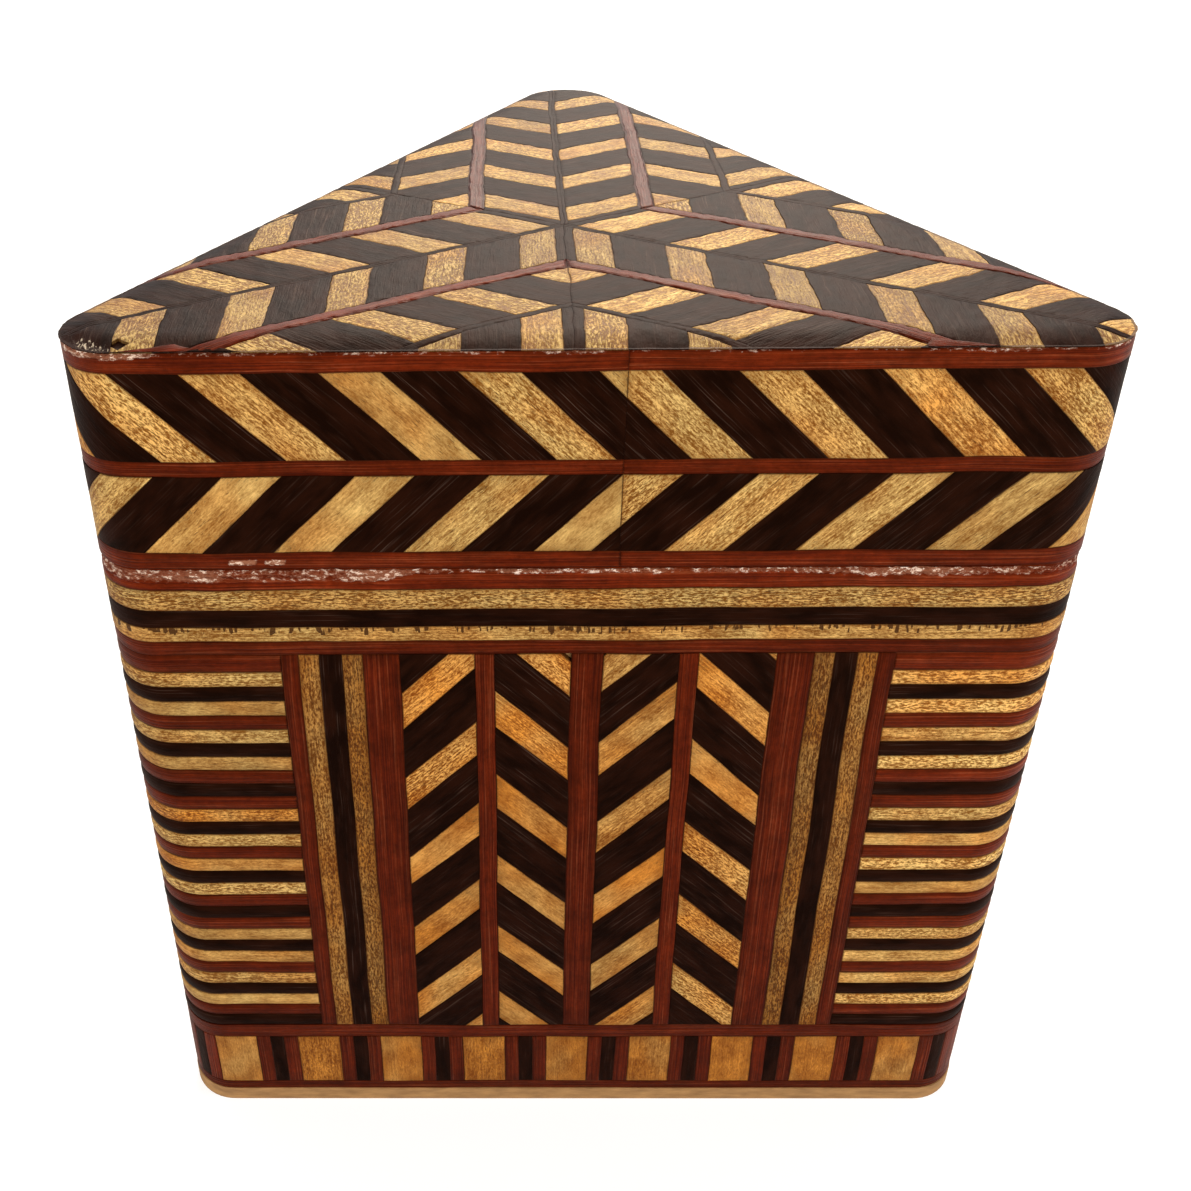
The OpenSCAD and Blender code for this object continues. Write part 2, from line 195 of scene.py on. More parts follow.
def wallCuts(piece):
    step = piece.get("step", grid["wall"])
    xs, ys = [p[0] for p in piece["outline"]], [p[1] for p in piece["outline"]]
    lines = []
    for side in range(-2, 4):
        start = side * sideRun - flatLength / 2
        count = math.ceil(flatLength / step[0])
        lines += [start + flatLength * i / count for i in range(count + 1)]
        count = max(grid["arc"], math.ceil(arcLength / step[0]))
        lines += [start + flatLength + arcLength * i / count for i in range(1, count)]
    cuts = [((x, 0, 0), (1, 0, 0)) for x in lines if min(xs) < x < max(xs)]
    count = math.ceil((max(ys) - min(ys)) / step[1])
    cuts += [((0, min(ys) + (max(ys) - min(ys)) * i / count, 0), (0, 1, 0)) for i in range(1, count)]
    return cuts + [((0, y, 0), (0, 1, 0)) for y in piece.get("rows", ())]


def topCuts(piece):
    xs, ys = [p[0] for p in piece["outline"]], [p[1] for p in piece["outline"]]
    step = grid["top"]
    cuts = []
    for values, normal in ((xs, (1, 0, 0)), (ys, (0, 1, 0))):
        first, last = math.ceil(min(values) / step), math.floor(max(values) / step)
        cuts += [(tuple(step * i * n for n in normal), normal) for i in range(first, last + 1)]
    nearest = min(outlineDepth(*p) for p in piece["outline"])
    if nearest < grid["rounded"]:  # extra lines where the edge of the lid is rounded
        for angle in range(0, 360, 12):
            a = math.radians(angle)
            n = (math.cos(a), math.sin(a), 0)
            reach = max(cornerAt * math.cos(a - math.radians(corner)) for corner in cornerAngles)
            for inset in grid["insets"]:
                d = reach + box["cornerRadius"] - inset
                cuts.append(((n[0] * d, n[1] * d, 0), n))
    return cuts


def layPieces(name, pieces, place, cutsFor, material, body, nodes):
    # one mesh of closed thin pieces; three attributes tell the materials where and what each point is: grain, finish,
    # and edge with shade and worn spots, painted shade among them
    points, faces, grain, finish, wearAndShade = [], [], [], [], []
    for piece in pieces:
        outline = piece["outline"]
        if len(outline) < 3 or abs(areaOf(outline)) < grid["leastArea"]:
            continue
        if areaOf(outline) < 0:
            outline = outline[::-1]
        bm = bmesh.new()
        bm.faces.new([bm.verts.new((x, y, 0)) for x, y in outline])
        eased = piece.get("eased", box["easedEdge"])
        for share in grid["easedSteps"]:
            inner = [f for f in bm.faces if not any(e.is_boundary for e in f.edges)] or bm.faces[:]
            if share == grid["easedSteps"][1]:
                inner = [max(inner, key=lambda f: f.calc_area())]
            bmesh.ops.inset_individual(bm, faces=inner, thickness=eased * share, use_even_offset=True)
        for at, normal in cutsFor(piece):
            bmesh.ops.bisect_plane(bm, geom=bm.verts[:] + bm.edges[:] + bm.faces[:], plane_co=at, plane_no=normal)
        bmesh.ops.remove_doubles(bm, verts=bm.verts[:], dist=grid["mergeWithin"])
        bm.verts.index_update()
        rim = {v.index for v in bm.verts if v.is_boundary}
        soft = set()
        for v in bm.verts:
            if v.index not in rim and any(e.other_vert(v).index in rim for e in v.link_edges):
                soft.add(v.index)
        direction = piece["grain"]
        shift = piece["shift"]
        start = len(points)
        outerDrop, innerDrop = (share * eased for share in grid["easedDrops"])
        for v in bm.verts:
            x, y = v.co.x, v.co.y
            down = outerDrop if v.index in rim else innerDrop if v.index in soft else 0
            out = piece["lift"] - down + (piece["shape"](x, y) if "shape" in piece else 0)
            points.append(place(x, y, out) * mm)
            along, across = x * direction[0] + y * direction[1], y * direction[0] - x * direction[1]
            grain.append((along + shift, across + shift, shift))
            finish.append((piece["tone"], piece["speckle"], piece["pores"]))
            atEdge = 1.0 if v.index in rim else 0.5 if v.index in soft else 0.0
            wearAndShade.append((atEdge, piece["shade"], piece["bare"](x, y) if "bare" in piece else 0.0))
        count = len(bm.verts)
        for v in bm.verts:
            points.append(place(v.co.x, v.co.y, 0, under=True) * mm)
            grain.append(grain[start + v.index])
            finish.append(finish[start + v.index])
            wearAndShade.append((1.0, piece["shade"], 0.0))
        for f in bm.faces:
            loop = [start + v.index for v in f.verts]
            faces.append(loop)
            faces.append([i + count for i in reversed(loop)])
        for e in bm.edges:
            if e.is_boundary:
                loop = e.link_loops[0]
                a, b = start + loop.vert.index, start + loop.link_loop_next.vert.index
                faces.append([b, a, a + count, b + count])
        bm.free()
    mesh = bpy.data.meshes.new(name)
    mesh.from_pydata(points, [], faces)
    for attribute, values in (("grain", grain), ("finish", finish), ("wearAndShade", wearAndShade)):
        layer = mesh.attributes.new(attribute, "FLOAT_VECTOR", "POINT")
        layer.data.foreach_set("vector", [c for v in values for c in v])
    mesh.materials.append(material)
    mesh.shade_smooth()
    mesh.set_sharp_from_angle(angle=math.radians(grid["sharpFrom"]))
    piece = bpy.data.objects.new(name, mesh)
    bpy.context.scene.collection.objects.link(piece)
    normals = piece.modifiers.new("flat faces", "WEIGHTED_NORMAL")
    normals.keep_sharp = True
    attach(piece, body)
    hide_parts(*nodes)


def linear(hexColour):
    values = [int(hexColour[i:i + 2], 16) / 255 for i in (1, 3, 5)]
    return tuple(v / 12.92 if v <= 0.04045 else ((v + 0.055) / 1.055) ** 2.4 for v in values) + (1,)


def addNode(tree, kind, inputs=None, **settings):
    node = tree.nodes.new(kind)
    for name, value in settings.items():
        setattr(node, name, value)
    for name, value in (inputs or {}).items():
        if isinstance(value, bpy.types.NodeSocket):
            tree.links.new(value, node.inputs[name])
        else:
            node.inputs[name].default_value = value
    return node


def newMaterial(name):
    material = bpy.data.materials.new(name)
    material.use_nodes = True
    material.node_tree.nodes.clear()
    return material, material.node_tree


# Maple veneer under satin lacquer, sanded flush: golden, speckled, with short dark pores along the grain
mapleLook = {
    "straw": "#c8984d",
    "orange": "#c17424",
    "pore": "#452307",
    "shadow": (0.42, 0.28, 0.12),  # what the darkest and the palest fibres do to the colour
    "shine": (1.74, 2.03, 2.8),
    "patterns": {  # mm along the grain and across it, then the noise's detail and roughness
        "cloud": (7, 5, 1.0, 0.5),
        "patches": (3.52, 2.2, 2.0, 0.6),
        "speckle": (0.54, 0.2, 3.0, 0.65),
        "dust": (0.13, 0.13, 1.0, 0.5),
        "fibres": (8, 0.22, 2.0, 0.6),
        "pores": (1.2, 0.15, 1.0, 0.6),  # the real ones are 0.07 wide, too fine to show
        "ticks": (0.42, 2.5, 1.0, 0.5),
    },
    "swings": {"fibres": 0.28, "patches": 0.2, "dust": 0.13},  # how much lighter and darker they go
    "roughness": 0.48,
    "lacquer": "#ffd9a4",
}


def mapleVeneer():
    look = mapleLook
    material, tree = newMaterial("lacqueredMaple")
    grain, finish, wearAndShade = (addNode(tree, "ShaderNodeAttribute", attribute_name=name).outputs["Vector"]
                           for name in ("grain", "finish", "wearAndShade"))
    tone, speckled, porous = addNode(tree, "ShaderNodeSeparateXYZ", {0: finish}).outputs
    edge, shade, bare = addNode(tree, "ShaderNodeSeparateXYZ", {0: wearAndShade}).outputs
    seen = {}
    for name, (length, width, detail, rough) in look["patterns"].items():
        scale = (1 / length, 1 / width, 1)
        place = addNode(tree, "ShaderNodeVectorMath", {0: grain, 1: scale}, operation="MULTIPLY").outputs[0]
        seen[name] = addNode(tree, "ShaderNodeTexNoise", {
            "Vector": place, "Scale": 1.0, "Detail": detail, "Roughness": rough}).outputs[0]

    # from straw to orange by piece, with clouds inside each piece
    drift = addNode(tree, "ShaderNodeMapRange", {
        "Value": seen["cloud"], "From Min": 0.3, "From Max": 0.7, "To Min": -0.3, "To Max": 0.3}).outputs[0]
    warmth = addNode(tree, "ShaderNodeMath", {0: tone, 1: drift}, operation="ADD", use_clamp=True).outputs[0]
    colour = addNode(tree, "ShaderNodeMix", {
        0: warmth, 6: linear(look["straw"]), 7: linear(look["orange"])}, data_type="RGBA").outputs[2]
    # speckle, fibres and patches turn it darker and browner or paler
    reach = addNode(tree, "ShaderNodeMapRange", {"Value": speckled, "To Min": 1.0, "To Max": 5.8}).outputs[0]
    grains = addNode(tree, "ShaderNodeMath", {0: seen["speckle"], 1: 0.5}, operation="SUBTRACT").outputs[0]
    grains = addNode(tree, "ShaderNodeMath", {0: grains, 1: reach, 2: 0.53}, operation="MULTIPLY_ADD").outputs[0]
    for name, swing in look["swings"].items():
        seen[name] = addNode(tree, "ShaderNodeMapRange", {
            "Value": seen[name], "From Min": 0.3, "From Max": 0.7, "To Min": -swing, "To Max": swing},
            clamp=False).outputs[0]
    coarse = addNode(tree, "ShaderNodeMapRange", {"Value": speckled, "From Max": 0.3, "To Min": 0.3}).outputs[0]
    light = addNode(tree, "ShaderNodeMath", {0: seen["fibres"], 1: seen["dust"]}, operation="ADD").outputs[0]
    light = addNode(tree, "ShaderNodeMath", {0: light, 1: coarse, 2: grains}, operation="MULTIPLY_ADD").outputs[0]
    light = addNode(tree, "ShaderNodeMath", {
        0: light, 1: seen["patches"]}, operation="ADD", use_clamp=True).outputs[0]
    light = addNode(tree, "ShaderNodeMath", {0: light, 1: 1.5}, operation="POWER").outputs[0]
    tint = addNode(tree, "ShaderNodeMix", {
        0: light, 4: look["shadow"], 5: look["shine"]}, data_type="VECTOR").outputs[1]
    tint = addNode(tree, "ShaderNodeVectorMath", {0: tint, "Scale": shade}, operation="SCALE").outputs[0]
    colour = addNode(tree, "ShaderNodeVectorMath", {0: colour, 1: tint}, operation="MULTIPLY").outputs[0]
    # open pores filled dark, and ticks across the grain where the knife left them
    limit = addNode(tree, "ShaderNodeMapRange", {"Value": porous, "To Min": 0.72, "To Max": 0.53}).outputs[0]
    above = addNode(tree, "ShaderNodeMath", {0: seen["pores"], 1: limit}, operation="SUBTRACT").outputs[0]
    poreMask = addNode(tree, "ShaderNodeMapRange", {"Value": above, "From Max": 0.1, "To Max": 0.62}).outputs[0]
    tickAt = addNode(tree, "ShaderNodeMath", {0: seen["ticks"], 1: bare}, operation="ADD").outputs[0]
    tickMask = addNode(tree, "ShaderNodeMapRange", {
        "Value": tickAt, "From Min": 1.0, "From Max": 1.05, "To Max": 0.95}).outputs[0]
    dark = addNode(tree, "ShaderNodeMath", {0: poreMask, 1: tickMask}, operation="MAXIMUM").outputs[0]
    # the cut edge frays in spots and takes the glue
    ragged = addNode(tree, "ShaderNodeMath", {0: edge, 1: 0.5, 2: seen["speckle"]}, operation="MULTIPLY_ADD").outputs[0]
    frayed = addNode(tree, "ShaderNodeMapRange", {
        "Value": ragged, "From Min": 0.72, "From Max": 0.95, "To Max": 0.85}).outputs[0]
    dark = addNode(tree, "ShaderNodeMath", {0: dark, 1: frayed}, operation="MAXIMUM").outputs[0]
    colour = addNode(tree, "ShaderNodeMix", {
        0: dark, 6: colour, 7: linear(look["pore"])}, data_type="RGBA").outputs[2]

    height = addNode(tree, "ShaderNodeMath", {0: light, 1: dark}, operation="SUBTRACT").outputs[0]
    bump = addNode(tree, "ShaderNodeBump", {"Height": height, "Strength": 0.7, "Distance": 0.00008})
    shader = addNode(tree, "ShaderNodeBsdfPrincipled", {
        "Base Color": colour, "Normal": bump.outputs[0], "Roughness": look["roughness"], "IOR": 1.5,
        "Specular IOR Level": 0.2, "Specular Tint": linear(look["lacquer"])})
    addNode(tree, "ShaderNodeOutputMaterial", {0: shader.outputs[0]})
    return material


# Ebony veneer under the same lacquer: brown-black, with thin paler streaks along the grain
blackLook = {
    "wood": "#100402",
    "brown": "#230d06",
    "streak": "#6b564a",
    "splinter": "#c4b097",
    "patterns": {  # as for the maple
        "streaks": (9.0, 0.16, 2.0, 0.6),
        "patches": (5, 1.6, 2.0, 0.6),
        "scraped": (1.6, 0.7, 3.0, 0.65),
        "splinters": (0.6, 0.28, 2.0, 0.6),
    },
    "roughness": 0.5,
    "lacquer": "#ffa85c",
}


def blackVeneer():
    look = blackLook
    material, tree = newMaterial("lacqueredEbony")
    grain, finish, wearAndShade = (addNode(tree, "ShaderNodeAttribute", attribute_name=name).outputs["Vector"]
                           for name in ("grain", "finish", "wearAndShade"))
    porous = addNode(tree, "ShaderNodeSeparateXYZ", {0: finish}).outputs["Z"]
    bare = addNode(tree, "ShaderNodeSeparateXYZ", {0: wearAndShade}).outputs["Z"]
    seen = {}
    for name, (length, width, detail, rough) in look["patterns"].items():
        scale = (1 / length, 1 / width, 1)
        place = addNode(tree, "ShaderNodeVectorMath", {0: grain, 1: scale}, operation="MULTIPLY").outputs[0]
        seen[name] = addNode(tree, "ShaderNodeTexNoise", {
            "Vector": place, "Scale": 1.0, "Detail": detail, "Roughness": rough}).outputs[0]

    mask = addNode(tree, "ShaderNodeMapRange", {
        "Value": seen["patches"], "From Min": 0.35, "From Max": 0.65}).outputs[0]
    colour = addNode(tree, "ShaderNodeMix", {
        0: mask, 6: linear(look["wood"]), 7: linear(look["brown"])}, data_type="RGBA").outputs[2]
    # pale streaks, in the browner patches and by piece
    streaks = addNode(tree, "ShaderNodeMapRange", {
        "Value": seen["streaks"], "From Min": 0.58, "From Max": 0.76, "To Max": 0.7}).outputs[0]
    streaks = addNode(tree, "ShaderNodeMath", {0: streaks, 1: porous}, operation="MULTIPLY").outputs[0]
    streaks = addNode(tree, "ShaderNodeMath", {0: streaks, 1: mask}, operation="MULTIPLY").outputs[0]
    colour = addNode(tree, "ShaderNodeMix", {
        0: streaks, 6: colour, 7: linear(look["streak"])}, data_type="RGBA").outputs[2]
    # where the veneer is broken the pale inside of the fibres shows
    broken = addNode(tree, "ShaderNodeMath", {0: seen["splinters"], 1: bare}, operation="ADD").outputs[0]
    broken = addNode(tree, "ShaderNodeMapRange", {"Value": broken, "From Min": 1.0, "From Max": 1.1}).outputs[0]
    colour = addNode(tree, "ShaderNodeMix", {
        0: broken, 6: colour, 7: linear(look["splinter"])}, data_type="RGBA").outputs[2]

    height = addNode(tree, "ShaderNodeMath", {
        0: seen["scraped"], 1: 2.0, 2: seen["streaks"]}, operation="MULTIPLY_ADD").outputs[0]
    height = addNode(tree, "ShaderNodeMath", {0: broken, 1: 2.0, 2: height}, operation="MULTIPLY_ADD").outputs[0]
    bump = addNode(tree, "ShaderNodeBump", {"Height": height, "Strength": 0.6, "Distance": 0.00007})
    shader = addNode(tree, "ShaderNodeBsdfPrincipled", {
        "Base Color": colour, "Normal": bump.outputs[0], "Roughness": look["roughness"], "IOR": 1.5,
        "Specular IOR Level": 0.055, "Specular Tint": linear(look["lacquer"])})
    addNode(tree, "ShaderNodeOutputMaterial", {0: shader.outputs[0]})
    return material


# Dark red rosewood in thin laminations under the lacquer: close parallel lines along the grain, the glossiest
redLook = {
    "wood": "#661f08",
    "dark": "#4a1206",
    "pale": "#8a472b",
    "worn": "#a56a4e",  # where the lacquer and the stain are rubbed off
    # pale wood, painted near white as a glint on the tops of the worn spots
    "paleWoodAndGlint": "#ffdcc2",
    "patterns": {"lines": (16.0, 0.16, 2.0, 0.65), "spots": (0.76, 0.38, 3.0, 0.7)},  # as for the maple
    "cloudSize": 10 / 3,
    "roughness": 0.4,
    "lacquer": "#ff9f58",
}


def redVeneer():
    look = redLook
    material, tree = newMaterial("lacqueredRedwood")
    grain = addNode(tree, "ShaderNodeAttribute", attribute_name="grain").outputs["Vector"]
    wearAndShade = addNode(tree, "ShaderNodeAttribute", attribute_name="wearAndShade").outputs["Vector"]
    edge, shade, bare = addNode(tree, "ShaderNodeSeparateXYZ", {0: wearAndShade}).outputs
    cloud = addNode(tree, "ShaderNodeTexNoise", {
        "Vector": grain, "Scale": 1 / look["cloudSize"], "Detail": 3.0, "Roughness": 0.6}).outputs[0]
    seen = {}
    for name, (length, width, detail, rough) in look["patterns"].items():
        scale = (1 / length, 1 / width, 1)
        place = addNode(tree, "ShaderNodeVectorMath", {0: grain, 1: scale}, operation="MULTIPLY").outputs[0]
        seen[name] = addNode(tree, "ShaderNodeTexNoise", {
            "Vector": place, "Scale": 1.0, "Detail": detail, "Roughness": rough}).outputs[0]
    lines, spots = seen["lines"], seen["spots"]

    deep = addNode(tree, "ShaderNodeMapRange", {"Value": lines, "From Min": 0.35, "From Max": 0.55}).outputs[0]
    colour = addNode(tree, "ShaderNodeMix", {
        0: deep, 6: linear(look["dark"]), 7: linear(look["wood"])}, data_type="RGBA").outputs[2]
    pale = addNode(tree, "ShaderNodeMapRange", {
        "Value": lines, "From Min": 0.57, "From Max": 0.74, "To Max": 0.75}).outputs[0]
    colour = addNode(tree, "ShaderNodeMix", {
        0: pale, 6: colour, 7: linear(look["pale"])}, data_type="RGBA").outputs[2]
    # lighter and darker in clouds and spots, darker at the glue, and with painted shade at the rim's top where it meets
    # the lid
    light = addNode(tree, "ShaderNodeMapRange", {
        "Value": cloud, "From Min": 0.3, "From Max": 0.7, "To Min": 0.72, "To Max": 1.25}).outputs[0]
    mottle = addNode(tree, "ShaderNodeMapRange", {
        "Value": spots, "From Min": 0.3, "From Max": 0.7, "To Min": 0.76, "To Max": 1.26}).outputs[0]
    light = addNode(tree, "ShaderNodeMath", {0: light, 1: mottle}, operation="MULTIPLY").outputs[0]
    light = addNode(tree, "ShaderNodeMath", {0: light, 1: shade}, operation="MULTIPLY").outputs[0]
    creaseShade = addNode(tree, "ShaderNodeMapRange", {
        "Value": bare, "From Min": -1.0, "From Max": 0.0, "To Min": 0.15}).outputs[0]
    glue = addNode(tree, "ShaderNodeMapRange", {
        "Value": edge, "From Max": 1.0, "To Min": 1.0, "To Max": 0.4}).outputs[0]
    light = addNode(tree, "ShaderNodeMath", {0: light, 1: creaseShade}, operation="MULTIPLY").outputs[0]
    light = addNode(tree, "ShaderNodeMath", {0: light, 1: glue}, operation="MULTIPLY").outputs[0]
    colour = addNode(tree, "ShaderNodeVectorMath", {0: colour, "Scale": light}, operation="SCALE").outputs[0]
    # rubbed through in the worn places, down to pale wood in the spots, painted near white on their tops as glints
    wornAt = addNode(tree, "ShaderNodeMath", {0: spots, 1: bare}, operation="ADD").outputs[0]
    worn = addNode(tree, "ShaderNodeMapRange", {
        "Value": wornAt, "From Min": 0.95, "From Max": 1.3, "To Max": 0.95}).outputs[0]
    colour = addNode(tree, "ShaderNodeMix", {
        0: worn, 6: colour, 7: linear(look["worn"])}, data_type="RGBA").outputs[2]
    glintSpots = addNode(tree, "ShaderNodeMapRange", {"Value": spots, "From Min": 0.53, "From Max": 0.62}).outputs[0]
    glintSpots = addNode(tree, "ShaderNodeMath", {0: glintSpots, 1: worn}, operation="MULTIPLY").outputs[0]
    colour = addNode(tree, "ShaderNodeMix", {
        0: glintSpots, 6: colour, 7: linear(look["paleWoodAndGlint"])}, data_type="RGBA").outputs[2]

    height = addNode(tree, "ShaderNodeMath", {0: worn, 1: spots}, operation="MULTIPLY").outputs[0]
    height = addNode(tree, "ShaderNodeMath", {0: height, 1: 2.5, 2: lines}, operation="MULTIPLY_ADD").outputs[0]
    bump = addNode(tree, "ShaderNodeBump", {"Height": height, "Strength": 0.9, "Distance": 0.00012})
    # lacquer has run into the worn places and glints there
    shader = addNode(tree, "ShaderNodeBsdfPrincipled", {
        "Base Color": colour, "Normal": bump.outputs[0], "Roughness": look["roughness"], "IOR": 1.5,
        "Specular IOR Level": 0.12, "Specular Tint": linear(look["lacquer"]),
        "Coat Weight": glintSpots, "Coat Roughness": 0.16, "Coat IOR": 1.35})
    addNode(tree, "ShaderNodeOutputMaterial", {0: shader.outputs[0]})
    return material


# Boards of birch ply and sawn pine: pale, without lacquer, with soft growth lines
boardLook = {
    "lineWidth": 0.9,  # mm
    "roughness": 0.6,
    # each board's material, its two colours and how close the lines are along x, y and z
    "lining": ("birchPly", "#dcbd88", "#b98f58", (0.1, 0.1, 1.0)),
    "base": ("handledPly", "#dfa868", "#5e3813", (0.5, 0.5, 2.0)),
    "walls": ("sawnPine", "#c99c64", "#a5763f", (0.15, 0.15, 1.0)),
}


def boardWood(name, pale, line, stretch):
    material, tree = newMaterial(name)
    place = addNode(tree, "ShaderNodeTexCoord").outputs["Object"]
    scale = tuple(v / (boardLook["lineWidth"] * mm) for v in stretch)
    along = addNode(tree, "ShaderNodeVectorMath", {0: place, 1: scale}, operation="MULTIPLY").outputs[0]
    lines = addNode(tree, "ShaderNodeTexNoise", {"Vector": along, "Scale": 0.5, "Detail": 4.0, "Roughness": 0.6})
    colour = addNode(tree, "ShaderNodeMix", {
        0: lines.outputs[0], 6: linear(pale), 7: linear(line)}, data_type="RGBA").outputs[2]
    bump = addNode(tree, "ShaderNodeBump", {"Height": lines.outputs[0], "Strength": 0.5, "Distance": 0.00008})
    shader = addNode(tree, "ShaderNodeBsdfPrincipled", {
        "Base Color": colour, "Normal": bump.outputs[0], "Roughness": boardLook["roughness"], "IOR": 1.5})
    addNode(tree, "ShaderNodeOutputMaterial", {0: shader.outputs[0]})
    return material


maple, black, red = mapleVeneer(), blackVeneer(), redVeneer()
print("materials made")

dice = random.Random(7)
handLaid = {  # how much one piece differs from the next
    "lift": (-0.045, 0.0),
    "shade": (0.86, 1.1),
    "pores": (-0.3, 0.3),
    "logLength": 400,  # millimetres of wood, each piece cut from another place in them
}


def wallPiece(outline, angle, pores=0.5, **extra):
    a = math.radians(angle)
    piece = {
        "outline": outline,
        "grain": (math.cos(a), math.sin(a)),
        "shift": dice.uniform(0, handLaid["logLength"]),
        "lift": dice.uniform(*handLaid["lift"]),
        "tone": dice.random(),
        "speckle": dice.random() ** 1.5,
        "shade": dice.uniform(*handLaid["shade"]),
        "pores": min(max(pores + dice.uniform(*handLaid["pores"]), 0), 1),
    }
    piece.update(extra)
    return piece


def rectangle(x0, x1, y0, y1):
    return [(x0, y0), (x1, y0), (x1, y1), (x0, y1)]


def onWall(name, pieces, material, body, slotName, *nodes):
    layPieces(name, pieces, placeOnWall, wallCuts, material, body, nodes)


lidBands = {
    "jointAt": 3.0,  # where the ends of the lid's bands meet, right of the middle of the front
    "pitch": 13.2,
    "maple": 5.9,
    "lean": 45,  # degrees
    "upperStart": 4.9,
    "lowerStart": -1.4,
    "upperWarmth": 0.15,  # the upper stripes are a little more orange
    "cornerStripes": 2,
    "edgeRound": 0.6,
    "splitSpots": ((-35.4, 1.6), (-32.1, 1.2)),  # middle and half length
}
knock = {"place": (-48.0, -31.8), "reach": 4.2, "along": 48.0}  # where the lid's corner has been knocked


def lidRing(name, node, **extra):
    z0, z1 = levelsOf(node)
    start = lidBands["jointAt"]
    ring = rectangle(start + halfLine, start + 3 * sideRun - halfLine, z0 + halfLine, z1 - halfLine)
    onWall(name, [wallPiece(ring, 0, **extra)], red, "lid", "red_veneer", node)


edgeTop = levelsOf("lid_edge_band")[1]


def frontRun(x):  # the lid's bands start at their joint, so the left of the front comes last
    return x - 3 * sideRun if x > 1.5 * sideRun else x


def edgeShape(x, y):  # the edge is rounded over, up to the veneer of the top
    radius = lidBands["edgeRound"]
    up = max(y - (edgeTop - radius), 0)
    return 0.9 * (math.sqrt(max(radius ** 2 - up ** 2, 0)) - radius)


def edgeWearAndHighlight(x, y):  # rubbed along the rounded top of the band, which also stands as a painted highlight of that edge; most at the knocked corner on the left
    patchy = 0.3 * noise.noise(wallPoint(x, edgeTop, 0) / 6)
    knocked = smooth((6.5 - abs(frontRun(x) + knock["along"])) / 3)
    return (0.5 + patchy + 0.2 * knocked) * smooth((y - edgeTop + 0.9 + 0.3 * knocked) / 0.7)


def lowWear(x, y):  # two spots near the left end of the front, where the strip has split off down to pale wood
    s = frontRun(x)
    spots = max(0.95 * smooth((half - abs(s - middle)) / 0.4) for middle, half in lidBands["splitSpots"])
    return spots * smooth((y - rimLevel - 0.35) / 0.2) * smooth((rimLevel + 1.25 - y) / 0.2)


def slantedStripes(z0, z1, lean, start, shareFrom, shareTo, pores):
    middle = (z0 + z1) / 2
    slope = math.tan(math.radians(lean))
    pitch = lidBands["pitch"]
    flatStripes = math.floor(flatLength / pitch)
    cornerPitch = (sideRun - flatStripes * pitch) / lidBands["cornerStripes"]
    first = start - math.floor((start + flatLength / 2) / pitch) * pitch
    warmth = lidBands["upperWarmth"] if lean < 0 else 0
    pieces = []
    for side in range(3):
        at = first + side * sideRun
        for width in [pitch] * flatStripes + [cornerPitch] * lidBands["cornerStripes"]:
            a, b = at + shareFrom * width + halfLine, at + shareTo * width - halfLine
            low, high = slope * (z0 + halfLine - middle), slope * (z1 - halfLine - middle)
            outline = [(a + low, z0 + halfLine), (b + low, z0 + halfLine),
                       (b + high, z1 - halfLine), (a + high, z1 - halfLine)]
            at += width
            joint = lidBands["jointAt"]
            parts = [clip(outline, 1, 0, joint - halfLine), clip(outline, -1, 0, -joint - halfLine)]
            if not (outline[0][0] < joint < outline[2][0] or outline[3][0] < joint < outline[1][0]):
                parts = [outline]
            for part in parts:
                if len(part) > 2:
                    pieces.append(wallPiece(part, 90 - lean, pores, tone=dice.uniform(0, 0.4) + warmth))
    return pieces


share = lidBands["maple"] / lidBands["pitch"]
for name, lean in (("upper", -lidBands["lean"]), ("lower", lidBands["lean"])):
    z0, z1 = levelsOf(name + "_maple_stripes")
    start = lidBands[name + "Start"]
    onWall(name + "MapleStripes", slantedStripes(z0, z1, lean, start, 0, share, 0.35),
           maple, "lid", "maple_veneer", name + "_maple_stripes")
    onWall(name + "BlackStripes", slantedStripes(z0, z1, lean, start, share, 1, 0.6),
           black, "lid", "black_veneer", name + "_black_stripes")
lidRing("lidEdgeBand", "lid_edge_band", shape=edgeShape, bare=edgeWearAndHighlight, step=(0.9, 0.25), eased=0.1)
lidRing("lidMidBand", "lid_mid_band", eased=0.3, shade=1.2)
lidRing("lidLowBand", "lid_low_band", bare=lowWear, step=(0.6, 0.25))
print("lid bands laid")


# The bands round the body end at the back corner
def bodyRing(name, node, material, slotName, pores=0.5, **extra):
    z0, z1 = levelsOf(node)
    ring = rectangle(-1.5 * sideRun + halfLine, 1.5 * sideRun - halfLine, z0 + halfLine, z1 - halfLine)
    onWall(name, [wallPiece(ring, 0, pores, **extra)], material, "box", slotName, node)


rim = {
    "round": 0.9,
    "rough": 0.36,
    # how far down the painted shade under the lid reaches
    "creaseShadeHeight": 0.3,
    "wideWear": 2.3,  # at the left of each side, up to wideTo; half of it from wideFrom on
    "narrowWear": 1.05,
    "wideTo": -20.0,
    "wideFrom": 24.0,
}
rimTop = levelsOf("rim_band")[1]


def wornHeight(s):  # how far down the rim is rubbed
    left, right = smooth((rim["wideTo"] + 4 - s) / 8), smooth((s - rim["wideFrom"] + 4) / 8)
    return rim["narrowWear"] + (rim["wideWear"] - rim["narrowWear"]) * max(left, 0.5 * right)


def rimShape(x, y):
    up = max(y - (rimTop - rim["round"]), 0)
    back = rim["round"] - math.sqrt(max(rim["round"] ** 2 - up ** 2, 0))
    here = wallPoint(x, y, 0)
    worn = smooth((y - rimTop + wornHeight(alongSide(x))) / 0.5)
    bumps = abs(noise.noise(here / 0.8)) + 0.5 * abs(noise.noise(here / 0.35))
    return -min(back, 0.75) - worn * rim["rough"] * bumps


